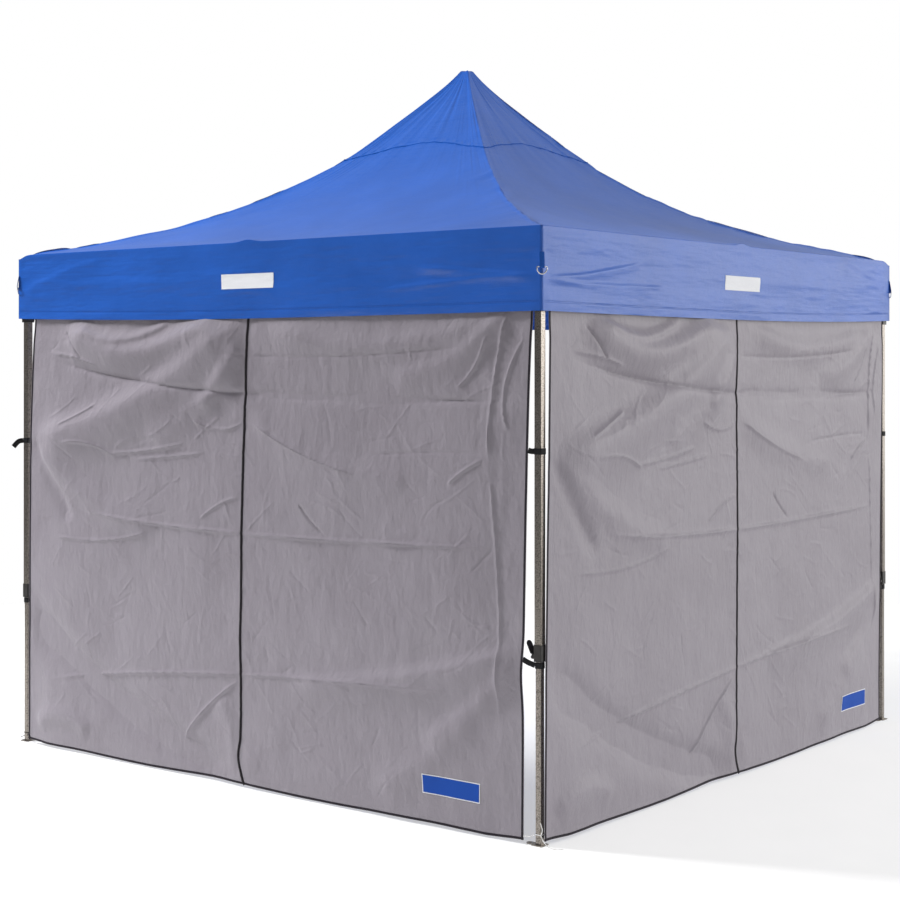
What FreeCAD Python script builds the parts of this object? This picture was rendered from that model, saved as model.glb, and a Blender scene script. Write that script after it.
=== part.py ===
import FreeCAD, Part
import math
import os

# Square pop-up shelter, open and standing. Millimetres, +Z up, origin on the floor
# under the peak, front wall towards -Y, right wall towards +X. The frame repeats
# four times round Z, so each piece is built for the front side or for the
# front-right corner and turned by quarter turns.

# Where the frame's pivots are
LEG_AXIS = 1468.0
TOP_PIVOT_Z = 2225.0
REST_ANGLE = 9.5
LEG_PIVOT_OFFSET = 38.0
MID_PIVOT_OFFSET = 32.0
HUB_PIVOT_OFFSET = 38.0
SPAN_X = LEG_AXIS - LEG_PIVOT_OFFSET - MID_PIVOT_OFFSET
BAR_LENGTH = SPAN_X / math.cos(math.radians(REST_ANGLE))
BAR_RISE = SPAN_X * math.tan(math.radians(REST_ANGLE))
LOW_PIVOT_Z = TOP_PIVOT_Z - BAR_RISE

# Scissor bars: flat tube with a rounded nylon plug in each end
BAR_WIDTH = 24.0
BAR_THICK = 12.0
BAR_WALL = 1.0
BAR_CORNER = 2.0
PLUG_SHOULDER = 16.0
SPIGOT_LENGTH = 18.0
SPIGOT_GAP = 0.1
LAYER_CENTRE = 7.0
RIVET_R = 3.0
RIVET_HOLE_R = 3.1
HEAD_R = 5.5
HEAD_THICK = 2.0
CROSS_GAP = 0.3

# Forks that hold the bar ends
CHEEK_R = 11.0
CHEEK_THICK = 4.0
CHEEK_INNER = -3.5
CHEEK_OUTER = 13.5

# Blocks that carry the forks
CORNER_HALF = 21.0
MID_HALF = 18.0
MID_TALL = 28.0
HUB_HALF = 20.0
HUB_BORE_R = 13.0
BLOCK_CORNER = 4.0
CAP_BELOW = 30.0
CAP_ABOVE = 35.0
SLIDER_ABOVE = 28.0
SLIDER_BELOW = 30.0
SLIDER_BORE_HALF = 15.5

# Telescopic legs
OUTER_HALF = 15.0
OUTER_WALL = 1.2
OUTER_BOTTOM = 688.0
OUTER_TOP = TOP_PIVOT_Z + 10.0
INNER_HALF = 12.0
INNER_WALL = 1.0
INNER_TOP = 900.0
TUBE_CORNER = 2.5
FIT_GAP = 0.1
HOUSING_HALF = 17.5
HOUSING_BOTTOM = 674.0
HOUSING_TOP = 736.0
FOOT_HALF = 24.0
FOOT_THICK = 4.0
EAR_LENGTH = 34.0
EAR_HALF = 13.0
PEG_HOLE_R = 6.0
PEG_HOLE_OFFSET = 44.0

# Height lever on the housing
LEVER_PIVOT_OUT = 25.0
LEVER_PIVOT_Z = 690.0
LEVER_TILT = 25.0
LEVER_LENGTH = 64.0
LEVER_WIDTH = 30.0
LEVER_THICK = 4.0
LEVER_HUB_R = 5.0
LEVER_EAR_INNER = 10.0
LEVER_EAR_THICK = 4.0
LEVER_EAR_R = 6.5
LEVER_NECK = 14.0
LEVER_PIN_R = 2.0

# Slider lock knob
KNOB_R = 6.5
KNOB_LENGTH = 12.0
KNOB_STEM_R = 3.0
KNOB_STEM_HOLE_R = 3.1
KNOB_STEM_LENGTH = 5.5
KNOB_ROUND = 2.0
KNOB_DROP = 21.0

# Peak pole
POLE_R = 12.5
POLE_WALL = 1.2
POLE_BOTTOM = LOW_PIVOT_Z + MID_TALL
POLE_TOP = 3140.0
POLE_CAP_R = 17.0
POLE_CAP_SHOULDER = 3150.0
POLE_CAP_TOP = 3164.0
POLE_CAP_TIP_R = 5.0
POLE_CAP_SKIRT = 3115.0

# Cloth
FABRIC_HALF = 1500.0
FABRIC_THICK = 1.2
VALANCE_BOTTOM = 1960.0
ROOF_PROFILE = ((0.0, 3177.0), (180.0, 2993.0), (340.0, 2818.0), (560.0, 2640.0),
                (950.0, 2428.0), (FABRIC_HALF, 2270.0))
WALL_PLANE = 1493.0
WALL_THICK = 1.2
WALL_BOTTOM = 20.0
WALL_TOP = 2050.0
FRONT_WALL_X = (-1415.0, 1412.0)
RIGHT_WALL_Y = (-1460.0, 1385.0)

# Zip pulls at the foot of each wall's centre zip
PULL_FACE = WALL_PLANE - 0.5
PULL_BODY = (9.0, 4.0, 16.0)
PULL_BOTTOM = 62.0
PULL_TAB = (7.0, 2.0, 34.0)

SIDES = ("front", "right", "back", "left")
CORNERS = ("front_right", "back_right", "back_left", "front_left")
RIGHT_HALF = ("front_right", "right_back", "back_left", "left_front")
LEFT_HALF = ("front_left", "right_front", "back_right", "left_back")


def vec(x, y, z):
    return FreeCAD.Vector(x, y, z)


def block(x0, x1, y0, y1, z0, z1, corner=0.0):
    shape = Part.makeBox(x1 - x0, y1 - y0, z1 - z0, vec(x0, y0, z0))
    if corner > 0:
        upright = [e for e in shape.Edges if abs(e.tangentAt(e.FirstParameter).z) > 0.9]
        shape = shape.makeFillet(corner, upright)
    return shape


def placed(shape, origin, x_dir, y_dir):
    # Moves a shape built round the origin so its X and Y lie along the given directions
    z_dir = x_dir.cross(y_dir)
    matrix = FreeCAD.Matrix(
        x_dir.x, y_dir.x, z_dir.x, origin.x,
        x_dir.y, y_dir.y, z_dir.y, origin.y,
        x_dir.z, y_dir.z, z_dir.z, origin.z,
        0, 0, 0, 1)
    moved = shape.copy()
    moved.Placement = FreeCAD.Placement(matrix)
    return moved


def turned(shape, quarter):
    moved = shape.copy()
    moved.rotate(vec(0, 0, 0), vec(0, 0, 1), 90.0 * quarter)
    return moved


def square_tube(half, wall, z0, z1, corner):
    outer = block(-half, half, -half, half, z0, z1, corner)
    inner = half - wall
    bore = block(-inner, inner, -inner, inner, z0 - 1, z1 + 1, max(corner - wall, 0.5))
    return outer.cut(bore)


def bar_tube(carries_rivet):
    # Lies along X from one pivot to the other, wide in Z, thin in Y
    x0 = PLUG_SHOULDER
    x1 = BAR_LENGTH - PLUG_SHOULDER
    y = BAR_THICK / 2
    z = BAR_WIDTH / 2
    outer = Part.makeBox(x1 - x0, 2 * y, 2 * z, vec(x0, -y, -z))
    long_edges = [e for e in outer.Edges if abs(e.tangentAt(e.FirstParameter).x) > 0.9]
    outer = outer.makeFillet(BAR_CORNER, long_edges)
    bore_y = y - BAR_WALL
    bore_z = z - BAR_WALL
    bore = Part.makeBox(x1 - x0 + 2, 2 * bore_y, 2 * bore_z, vec(x0 - 1, -bore_y, -bore_z))
    tube = outer.cut(bore)
    middle = BAR_LENGTH / 2
    if not carries_rivet:
        hole = Part.makeCylinder(RIVET_HOLE_R, 2 * BAR_THICK, vec(middle, -BAR_THICK, 0), vec(0, 1, 0))
        return tube.cut(hole)
    near = y + HEAD_THICK
    far = -(2 * LAYER_CENTRE + y + CROSS_GAP + HEAD_THICK)
    washer_end = -(2 * LAYER_CENTRE - y - CROSS_GAP)
    shaft = Part.makeCylinder(RIVET_R, near - far, vec(middle, far, 0), vec(0, 1, 0))
    head = Part.makeCylinder(HEAD_R, HEAD_THICK, vec(middle, y, 0), vec(0, 1, 0))
    foot = Part.makeCylinder(HEAD_R, HEAD_THICK, vec(middle, far, 0), vec(0, 1, 0))
    washer = Part.makeCylinder(CHEEK_R, -y - washer_end, vec(middle, washer_end, 0), vec(0, 1, 0))
    return tube.fuse([shaft, head, foot, washer])


def bar_plug():
    y = BAR_THICK / 2
    z = BAR_WIDTH / 2
    spigot_y = y - BAR_WALL - SPIGOT_GAP
    spigot_z = z - BAR_WALL - SPIGOT_GAP
    nose = Part.makeCylinder(z, 2 * y, vec(0, -y, 0), vec(0, 1, 0))
    body = Part.makeBox(PLUG_SHOULDER, 2 * y, 2 * z, vec(0, -y, -z))
    spigot = Part.makeBox(SPIGOT_LENGTH, 2 * spigot_y, 2 * spigot_z,
                          vec(PLUG_SHOULDER, -spigot_y, -spigot_z))
    hole = Part.makeCylinder(RIVET_HOLE_R, 4 * y, vec(0, -2 * y, 0), vec(0, 1, 0))
    return nose.fuse([body, spigot]).cut(hole).removeSplitter()


def make_bar(carries_rivet):
    near_plug = bar_plug()
    far_plug = placed(bar_plug(), vec(BAR_LENGTH, 0, 0), vec(-1, 0, 0), vec(0, 1, 0))
    return Part.makeCompound([bar_tube(carries_rivet), near_plug, far_plug])


def lay_bar(bar, start, along, layer, rises):
    # Start is the pivot on the truss plane, along and layer are level directions
    angle = math.radians(REST_ANGLE if rises else -REST_ANGLE)
    direction = along * math.cos(angle) + vec(0, 0, math.sin(angle))
    return placed(bar, start + layer * LAYER_CENTRE, direction, layer)


def fork(pivot, away, layer, reach):
    # Two cheeks and their rivet, from a block's face out to the pivot
    pieces = []
    for offset in (CHEEK_INNER, CHEEK_OUTER):
        disc = Part.makeCylinder(CHEEK_R, CHEEK_THICK, vec(0, offset, 0), vec(0, 1, 0))
        plate = Part.makeBox(reach, CHEEK_THICK, 2 * CHEEK_R, vec(-reach, offset, -CHEEK_R))
        pieces += [disc, plate]
    first = CHEEK_INNER - HEAD_THICK
    last = CHEEK_OUTER + CHEEK_THICK
    pieces.append(Part.makeCylinder(RIVET_R, last - first, vec(0, first, 0), vec(0, 1, 0)))
    for offset in (first, last):
        pieces.append(Part.makeCylinder(HEAD_R, HEAD_THICK, vec(0, offset, 0), vec(0, 1, 0)))
    return placed(pieces[0].fuse(pieces[1:]), pivot, away, layer)


def mid_bracket(pivot_z, side_layer, centre_layer):
    # Front side's block: two side bars left and right, one centre bar behind it
    h = MID_HALF
    body = block(-h, h, -LEG_AXIS - h, -LEG_AXIS + h, pivot_z - MID_TALL, pivot_z + MID_TALL,
                 BLOCK_CORNER)
    reach = MID_PIVOT_OFFSET - h + 2
    forks = []
    for sign in (-1, 1):
        pivot = vec(sign * MID_PIVOT_OFFSET, -LEG_AXIS, pivot_z)
        forks.append(fork(pivot, vec(sign, 0, 0), side_layer, reach))
    forks.append(fork(vec(0, -LEG_AXIS + MID_PIVOT_OFFSET, pivot_z), vec(0, 1, 0),
                      centre_layer, reach))
    return body.fuse(forks).removeSplitter()


def hub(pivot_z, layer_sign):
    h = HUB_HALF
    body = block(-h, h, -h, h, pivot_z - MID_TALL, pivot_z + MID_TALL, BLOCK_CORNER)
    reach = HUB_PIVOT_OFFSET - h + 2
    forks = []
    for quarter in range(4):
        arm = fork(vec(0, -HUB_PIVOT_OFFSET, pivot_z), vec(0, -1, 0), vec(layer_sign, 0, 0), reach)
        forks.append(turned(arm, quarter))
    return body.fuse(forks).removeSplitter()


def hub_upper():
    bore = Part.makeCylinder(HUB_BORE_R, 4 * MID_TALL, vec(0, 0, TOP_PIVOT_Z - 2 * MID_TALL))
    return hub(TOP_PIVOT_Z, 1).cut(bore)


def corner_forks(pivot_z, side_sign):
    # Forks on the two inner faces of a front-right corner block
    reach = LEG_PIVOT_OFFSET - CORNER_HALF + 2
    to_front = fork(vec(LEG_AXIS - LEG_PIVOT_OFFSET, -LEG_AXIS, pivot_z), vec(-1, 0, 0),
                    vec(0, -side_sign, 0), reach)
    to_right = fork(vec(LEG_AXIS, -LEG_AXIS + LEG_PIVOT_OFFSET, pivot_z), vec(0, 1, 0),
                    vec(side_sign, 0, 0), reach)
    return [to_front, to_right]


def at_corner(shape):
    return shape.translated(vec(LEG_AXIS, -LEG_AXIS, 0))


def leg_top_bracket():
    h = CORNER_HALF
    body = block(-h, h, -h, h, TOP_PIVOT_Z - CAP_BELOW, TOP_PIVOT_Z + CAP_ABOVE, BLOCK_CORNER)
    pocket_half = OUTER_HALF + FIT_GAP
    pocket = block(-pocket_half, pocket_half, -pocket_half, pocket_half,
                   TOP_PIVOT_Z - CAP_BELOW - 1, OUTER_TOP, TUBE_CORNER)
    body = at_corner(body.cut(pocket))
    return body.fuse(corner_forks(TOP_PIVOT_Z, 1)).cut(at_corner(pocket))


def adjuster_housing():
    h = HOUSING_HALF
    body = block(-h, h, -h, h, HOUSING_BOTTOM, HOUSING_TOP, BLOCK_CORNER)
    for sign in (-1, 1):
        inner = sign * LEVER_EAR_INNER
        outer = sign * (LEVER_EAR_INNER + LEVER_EAR_THICK)
        y0 = min(inner, outer)
        disc = Part.makeCylinder(LEVER_EAR_R, LEVER_EAR_THICK,
                                 vec(-LEVER_PIVOT_OUT, y0, LEVER_PIVOT_Z), vec(0, 1, 0))
        plate = Part.makeBox(LEVER_PIVOT_OUT - h + 2, LEVER_EAR_THICK, 2 * LEVER_EAR_R,
                             vec(-LEVER_PIVOT_OUT, y0, LEVER_PIVOT_Z - LEVER_EAR_R))
        body = body.fuse([disc, plate])
    ear_end = LEVER_EAR_INNER + LEVER_EAR_THICK
    pin = Part.makeCylinder(LEVER_PIN_R, 2 * ear_end, vec(-LEVER_PIVOT_OUT, -ear_end, LEVER_PIVOT_Z),
                            vec(0, 1, 0))
    body = body.fuse(pin)
    wide = OUTER_HALF + FIT_GAP
    narrow = INNER_HALF + 3 * FIT_GAP
    seat = block(-wide, wide, -wide, wide, OUTER_BOTTOM, HOUSING_TOP + 1, TUBE_CORNER)
    throat = block(-narrow, narrow, -narrow, narrow, HOUSING_BOTTOM - 1, OUTER_BOTTOM + 1, 1.5)
    return at_corner(body.cut(seat).cut(throat))


def leg_outer():
    tube = at_corner(square_tube(OUTER_HALF, OUTER_WALL, OUTER_BOTTOM, OUTER_TOP, TUBE_CORNER))
    return Part.makeCompound([tube, leg_top_bracket(), adjuster_housing()])


def leg_inner():
    tube = square_tube(INNER_HALF, INNER_WALL, FOOT_THICK, INNER_TOP, TUBE_CORNER)
    plate = block(-FOOT_HALF, FOOT_HALF, -FOOT_HALF, FOOT_HALF, 0, FOOT_THICK, BLOCK_CORNER)
    ear_end = -FOOT_HALF - EAR_LENGTH
    ear_root = Part.makeBox(EAR_LENGTH, 2 * EAR_HALF, FOOT_THICK,
                            vec(ear_end + EAR_HALF, -EAR_HALF, 0))
    ear_tip = Part.makeCylinder(EAR_HALF, FOOT_THICK, vec(ear_end + EAR_HALF, 0, 0))
    hole = Part.makeCylinder(PEG_HOLE_R, 4 * FOOT_THICK, vec(-PEG_HOLE_OFFSET, 0, -2 * FOOT_THICK))
    foot = plate.fuse([ear_root, ear_tip]).cut(hole).removeSplitter()
    return Part.makeCompound([at_corner(tube), at_corner(foot)])


def corner_slider():
    h = CORNER_HALF
    body = block(-h, h, -h, h, LOW_PIVOT_Z - SLIDER_BELOW, LOW_PIVOT_Z + SLIDER_ABOVE, BLOCK_CORNER)
    body = at_corner(body).fuse(corner_forks(LOW_PIVOT_Z, -1))
    b = SLIDER_BORE_HALF
    bore = block(-b, b, -b, b, LOW_PIVOT_Z - 60, LOW_PIVOT_Z + 60, TUBE_CORNER)
    stem_hole = Part.makeCylinder(KNOB_STEM_HOLE_R, 10,
                                  vec(-h - 2, 0, LOW_PIVOT_Z - KNOB_DROP), vec(1, 0, 0))
    return body.cut(at_corner(bore)).cut(at_corner(stem_hole)).removeSplitter()


def slider_lock():
    z = LOW_PIVOT_Z - KNOB_DROP
    face = -CORNER_HALF - 0.5
    knob = Part.makeCylinder(KNOB_R, KNOB_LENGTH, vec(face, 0, z), vec(-1, 0, 0))
    rim = [e for e in knob.Edges if abs(e.CenterOfMass.x - (face - KNOB_LENGTH)) < 0.01]
    knob = knob.makeFillet(KNOB_ROUND, rim)
    stem = Part.makeCylinder(KNOB_STEM_R, KNOB_STEM_LENGTH, vec(face, 0, z), vec(1, 0, 0))
    return at_corner(knob.fuse(stem))


def height_lever():
    # Paddle stands up from its pivot and leans away from the leg
    half = LEVER_EAR_INNER - 0.5
    t = LEVER_THICK / 2
    w = LEVER_WIDTH / 2
    tip_centre = LEVER_LENGTH - w
    sleeve = Part.makeCylinder(LEVER_HUB_R, 2 * half, vec(0, -half, 0), vec(0, 1, 0))
    neck = Part.makeBox(LEVER_THICK, 2 * half, LEVER_NECK + t, vec(-t, -half, 0))
    paddle = Part.makeBox(LEVER_THICK, 2 * w, tip_centre - LEVER_NECK, vec(-t, -w, LEVER_NECK))
    tip = Part.makeCylinder(w, LEVER_THICK, vec(-t, 0, tip_centre), vec(1, 0, 0))
    hole = Part.makeCylinder(LEVER_PIN_R + FIT_GAP, 4 * half, vec(0, -2 * half, 0), vec(0, 1, 0))
    lever = sleeve.fuse([neck, paddle, tip]).cut(hole).removeSplitter()
    lever.rotate(vec(0, 0, 0), vec(0, 1, 0), -LEVER_TILT)
    return at_corner(lever.translated(vec(-LEVER_PIVOT_OUT, 0, LEVER_PIVOT_Z)))


def peak_pole():
    outer = Part.makeCylinder(POLE_R, POLE_TOP - POLE_BOTTOM, vec(0, 0, POLE_BOTTOM))
    bore = Part.makeCylinder(POLE_R - POLE_WALL, POLE_TOP - POLE_BOTTOM, vec(0, 0, POLE_BOTTOM))
    tube = outer.cut(bore)
    skirt = Part.makeCylinder(POLE_CAP_R, POLE_CAP_SHOULDER - POLE_CAP_SKIRT,
                              vec(0, 0, POLE_CAP_SKIRT))
    crown = Part.makeCone(POLE_CAP_R, POLE_CAP_TIP_R, POLE_CAP_TOP - POLE_CAP_SHOULDER,
                          vec(0, 0, POLE_CAP_SHOULDER))
    socket = Part.makeCylinder(POLE_R + FIT_GAP, POLE_TOP - POLE_CAP_SKIRT,
                               vec(0, 0, POLE_CAP_SKIRT))
    cap = skirt.fuse(crown).cut(socket)
    plug = Part.makeCylinder(POLE_R - POLE_WALL - FIT_GAP, 30, vec(0, 0, POLE_BOTTOM))
    return Part.makeCompound([tube, cap, plug])


def roof_panel(inner, outer):
    # One flat piece of the front roof slope between two heights, a slab of cloth thickness
    m0, z0 = inner
    m1, z1 = outer
    top = [vec(-m0, -m0, z0), vec(m0, -m0, z0), vec(m1, -m1, z1), vec(-m1, -m1, z1)]
    if m0 == 0:
        top = top[1:]
    face = Part.Face(Part.makePolygon(top + [top[0]]))
    slope = math.hypot(m1 - m0, z0 - z1) / (m1 - m0)
    return face.extrude(vec(0, 0, -FABRIC_THICK * slope))


def canopy():
    pieces = []
    for quarter in range(4):
        for inner, outer in zip(ROOF_PROFILE, ROOF_PROFILE[1:]):
            pieces.append(turned(roof_panel(inner, outer), quarter))
        # Each valance stops short of the next one by its own thickness
        valance = block(-FABRIC_HALF, FABRIC_HALF - FABRIC_THICK, -FABRIC_HALF,
                        -FABRIC_HALF + FABRIC_THICK, VALANCE_BOTTOM, ROOF_PROFILE[-1][1] - 2)
        pieces.append(turned(valance, quarter))
    return Part.makeCompound(pieces)


def wall(span):
    return block(span[0], span[1], -WALL_PLANE - WALL_THICK, -WALL_PLANE, WALL_BOTTOM, WALL_TOP)


def zip_pull():
    bw, bd, bh = PULL_BODY
    tw, td, th = PULL_TAB
    body = block(-bw / 2, bw / 2, -PULL_FACE, -PULL_FACE + bd, PULL_BOTTOM, PULL_BOTTOM + bh)
    tab = Part.makeBox(tw, td, th, vec(-tw / 2, -PULL_FACE + bd, PULL_BOTTOM - th + bh * 0.6))
    return body.fuse(tab).removeSplitter()


def build_nodes():
    nodes = {"hub_upper": hub_upper(), "hub_lower": hub(LOW_PIVOT_Z, -1), "peak_pole": peak_pole()}
    rivet_bar = make_bar(True)
    plain_bar = make_bar(False)
    outward = vec(0, -1, 0)
    inward = vec(0, 1, 0)
    east = vec(1, 0, 0)
    west = vec(-1, 0, 0)
    hub_y = -HUB_PIVOT_OFFSET
    centre_falling = lay_bar(rivet_bar, vec(0, hub_y, TOP_PIVOT_Z), outward, east, False)
    centre_rising = lay_bar(plain_bar, vec(0, hub_y, LOW_PIVOT_Z), outward, west, True)
    bracket_upper = mid_bracket(TOP_PIVOT_Z, inward, west)
    bracket_lower = mid_bracket(LOW_PIVOT_Z, outward, east)
    for quarter, side in enumerate(SIDES):
        nodes["centre_bar_falling_" + side] = turned(centre_falling, quarter)
        nodes["centre_bar_rising_" + side] = turned(centre_rising, quarter)
        nodes["mid_bracket_upper_" + side] = turned(bracket_upper, quarter)
        nodes["mid_bracket_lower_" + side] = turned(bracket_lower, quarter)
    for along, sign, names in ((east, 1, RIGHT_HALF), (west, -1, LEFT_HALF)):
        x = sign * MID_PIVOT_OFFSET
        rising = lay_bar(rivet_bar, vec(x, -LEG_AXIS, LOW_PIVOT_Z), along, outward, True)
        falling = lay_bar(plain_bar, vec(x, -LEG_AXIS, TOP_PIVOT_Z), along, inward, False)
        for quarter, name in enumerate(names):
            nodes["side_bar_rising_" + name] = turned(rising, quarter)
            nodes["side_bar_falling_" + name] = turned(falling, quarter)
    corner_shapes = {
        "leg_outer": leg_outer(),
        "leg_inner": leg_inner(),
        "corner_slider": corner_slider(),
        "slider_lock": slider_lock(),
        "height_lever": height_lever(),
    }
    for stem, shape in corner_shapes.items():
        for quarter, corner in enumerate(CORNERS):
            nodes[stem + "_" + corner] = turned(shape, quarter)
    nodes["canopy"] = canopy()
    nodes["wall_front"] = wall(FRONT_WALL_X)
    nodes["wall_right"] = turned(wall(RIGHT_WALL_Y), 1)
    nodes["zip_pull_front"] = zip_pull()
    nodes["zip_pull_right"] = turned(zip_pull(), 1)
    return nodes


def main():
    os.makedirs("parts", exist_ok=True)
    for name, shape in build_nodes().items():
        shape.exportStep(os.path.join("parts", name + ".step"))


if __name__ == "__main__":
    main()
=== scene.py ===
import math

import bpy
import numpy as np
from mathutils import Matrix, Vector


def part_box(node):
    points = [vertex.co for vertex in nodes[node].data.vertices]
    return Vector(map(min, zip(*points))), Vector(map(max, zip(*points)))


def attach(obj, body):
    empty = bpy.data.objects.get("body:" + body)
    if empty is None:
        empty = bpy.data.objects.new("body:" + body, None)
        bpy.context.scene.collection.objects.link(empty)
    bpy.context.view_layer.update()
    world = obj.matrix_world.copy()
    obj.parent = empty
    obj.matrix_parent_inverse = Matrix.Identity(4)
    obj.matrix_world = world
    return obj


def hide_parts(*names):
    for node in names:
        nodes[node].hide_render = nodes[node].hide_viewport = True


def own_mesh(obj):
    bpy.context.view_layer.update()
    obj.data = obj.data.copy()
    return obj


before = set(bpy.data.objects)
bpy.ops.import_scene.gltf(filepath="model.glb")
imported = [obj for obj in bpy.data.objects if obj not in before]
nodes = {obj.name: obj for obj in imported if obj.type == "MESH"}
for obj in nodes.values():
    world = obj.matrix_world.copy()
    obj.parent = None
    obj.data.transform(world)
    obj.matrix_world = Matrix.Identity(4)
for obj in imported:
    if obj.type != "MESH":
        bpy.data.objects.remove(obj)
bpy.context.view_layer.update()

SIDES = ("front", "right", "back", "left")
CORNERS = ("front_right", "back_right", "back_left", "front_left")

# Sizes in metres, worked out from the frame
canopy_lo, canopy_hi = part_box("canopy")
outer_lo, outer_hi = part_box("leg_outer_front_right")
BRACKET_HALF = 0.021                 # from a leg's axis to the face of its top bracket
TUBE_HALF = 0.015
INNER_HALF = 0.012
HALF = canopy_hi[0]                  # half the roof's width at the eave
APEX_Z = canopy_hi[2] - 0.003
EAVE_Z = outer_hi[2] + 0.015
VALANCE_BOTTOM = canopy_lo[2] + 0.002
LEG_AXIS = outer_hi[0] - BRACKET_HALF
HOUSING_BOTTOM = outer_lo[2]
HOUSING_TOP = HOUSING_BOTTOM + 0.062
WALL_TOP = 2.04
CLOTH_THICK = 0.0012


# ---------------------------------------------------------------- materials

def new_material(name):
    material = bpy.data.materials.new(name)
    material.use_nodes = True
    tree = material.node_tree
    tree.nodes.clear()
    output = tree.nodes.new("ShaderNodeOutputMaterial")
    shader = tree.nodes.new("ShaderNodeBsdfPrincipled")
    tree.links.new(shader.outputs[0], output.inputs[0])
    return material, tree, shader


def coordinates(tree, kind, scale=(1, 1, 1)):
    source = tree.nodes.new("ShaderNodeTexCoord")
    mapping = tree.nodes.new("ShaderNodeMapping")
    mapping.inputs["Scale"].default_value = scale
    tree.links.new(source.outputs[kind], mapping.inputs["Vector"])
    return mapping.outputs[0]


def texture(tree, kind, vector, **values):
    """A texture node fed by a vector, with some of its inputs set."""
    node = tree.nodes.new("ShaderNodeTex" + kind)
    for socket, value in values.items():
        node.inputs[socket].default_value = value
    tree.links.new(vector, node.inputs["Vector"])
    return node


def noise(tree, vector, scale, detail=2.0, rough=0.5):
    return texture(tree, "Noise", vector, Scale=scale, Detail=detail, Roughness=rough).outputs["Fac"]


def ramp(tree, value, stops):
    node = tree.nodes.new("ShaderNodeValToRGB")
    elements = node.color_ramp.elements
    while len(elements) < len(stops):
        elements.new(0.5)
    for element, (place, colour) in zip(elements, stops):
        element.position = place
        element.color = (*colour, 1)
    tree.links.new(value, node.inputs["Fac"])
    return node.outputs["Color"]


def math_node(tree, operation, first, second=None):
    node = tree.nodes.new("ShaderNodeMath")
    node.operation = operation
    for socket, value in zip(node.inputs, (first, second)):
        if value is None:
            continue
        if isinstance(value, (int, float)):
            socket.default_value = value
        else:
            tree.links.new(value, socket)
    return node.outputs[0]


def paint(tree, shader, colour, rough):
    tree.links.new(colour, shader.inputs["Base Color"])
    shader.inputs["Roughness"].default_value = rough


def bump(tree, shader, height, strength, distance, below=None):
    node = tree.nodes.new("ShaderNodeBump")
    node.inputs["Strength"].default_value = strength
    node.inputs["Distance"].default_value = distance
    tree.links.new(height, node.inputs["Height"])
    if below is not None:
        tree.links.new(below, node.inputs["Normal"])
    tree.links.new(node.outputs["Normal"], shader.inputs["Normal"])
    return node.outputs["Normal"]


def weave_height(tree, vector, pitch):
    """Over-and-under threads: two crossed sine waves, from the cloth's flat coordinates."""
    split = tree.nodes.new("ShaderNodeSeparateXYZ")
    tree.links.new(vector, split.inputs[0])
    turns = 2 * math.pi / pitch
    warp = math_node(tree, "SINE", math_node(tree, "MULTIPLY", split.outputs[0], turns))
    weft = math_node(tree, "SINE", math_node(tree, "MULTIPLY", split.outputs[1], turns))
    return math_node(tree, "MULTIPLY", warp, weft)


def facet_height(tree, body):
    """Uneven facets: cells whose places are pushed about by a coarse noise."""
    drift = texture(tree, "Noise", body, Scale=3.5, Detail=3.0)
    sway = tree.nodes.new("ShaderNodeVectorMath")
    sway.operation = "SCALE"
    sway.inputs["Scale"].default_value = 0.22
    tree.links.new(drift.outputs["Color"], sway.inputs[0])
    pushed = tree.nodes.new("ShaderNodeVectorMath")
    tree.links.new(body, pushed.inputs[0])
    tree.links.new(sway.outputs[0], pushed.inputs[1])
    return texture(tree, "Voronoi", pushed.outputs[0], Scale=9.0, Detail=2.0).outputs["Distance"]


def fabric(name, dark, mid, light, rough, sheen, grain, crinkle, coat=0.0, crumple=0.0):
    """Woven cloth. Grain stretches its fine wrinkles: a larger number packs them closer along that axis.
    Crumple is the strength of the small sharp facets that packing leaves in it."""
    material, tree, shader = new_material(name)
    flat = coordinates(tree, "UV")
    body = coordinates(tree, "Object")
    colour = ramp(tree, noise(tree, body, 3.1, 5.0, 0.6), ((0.3, dark), (0.5, mid), (0.72, light)))
    paint(tree, shader, colour, rough)
    shader.inputs["Sheen Weight"].default_value = sheen
    shader.inputs["Sheen Roughness"].default_value = 0.4
    shader.inputs["Coat Weight"].default_value = coat
    shader.inputs["Coat Roughness"].default_value = 0.38
    below = bump(tree, shader, weave_height(tree, flat, 0.0016), 0.25, 0.0004)
    below = bump(tree, shader, noise(tree, body, 30.0, 4.0, 0.62), crinkle, 0.003, below)
    long_grain = coordinates(tree, "Object", grain)
    below = bump(tree, shader, noise(tree, long_grain, 3.0, 4.0, 0.6), crinkle, 0.008, below)
    if crumple > 0:
        bump(tree, shader, facet_height(tree, body), crumple, 0.006, below)
    return material


def hammertone(name):
    material, tree, shader = new_material(name)
    body = coordinates(tree, "Object")
    dents = texture(tree, "Voronoi", body, Scale=210.0).outputs["Distance"]
    colour = ramp(tree, dents,
                  ((0.0, (0.42, 0.38, 0.335)), (0.45, (0.30, 0.27, 0.24)), (0.8, (0.15, 0.132, 0.115))))
    paint(tree, shader, colour, 0.30)
    shader.inputs["Metallic"].default_value = 0.92
    below = bump(tree, shader, dents, 0.32, 0.0005)
    bump(tree, shader, noise(tree, body, 40.0, 3.0), 0.12, 0.0005, below)
    return material


def plastic(name, colour, rough, grain=700.0):
    material, tree, shader = new_material(name)
    body = coordinates(tree, "Object")
    lighter = tuple(min(1.0, c * 1.5 + 0.006) for c in colour)
    mixed = ramp(tree, noise(tree, body, 60.0, 4.0), ((0.35, colour), (0.75, lighter)))
    paint(tree, shader, mixed, rough)
    bump(tree, shader, noise(tree, body, grain), 0.12, 0.0003)
    return material


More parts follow.
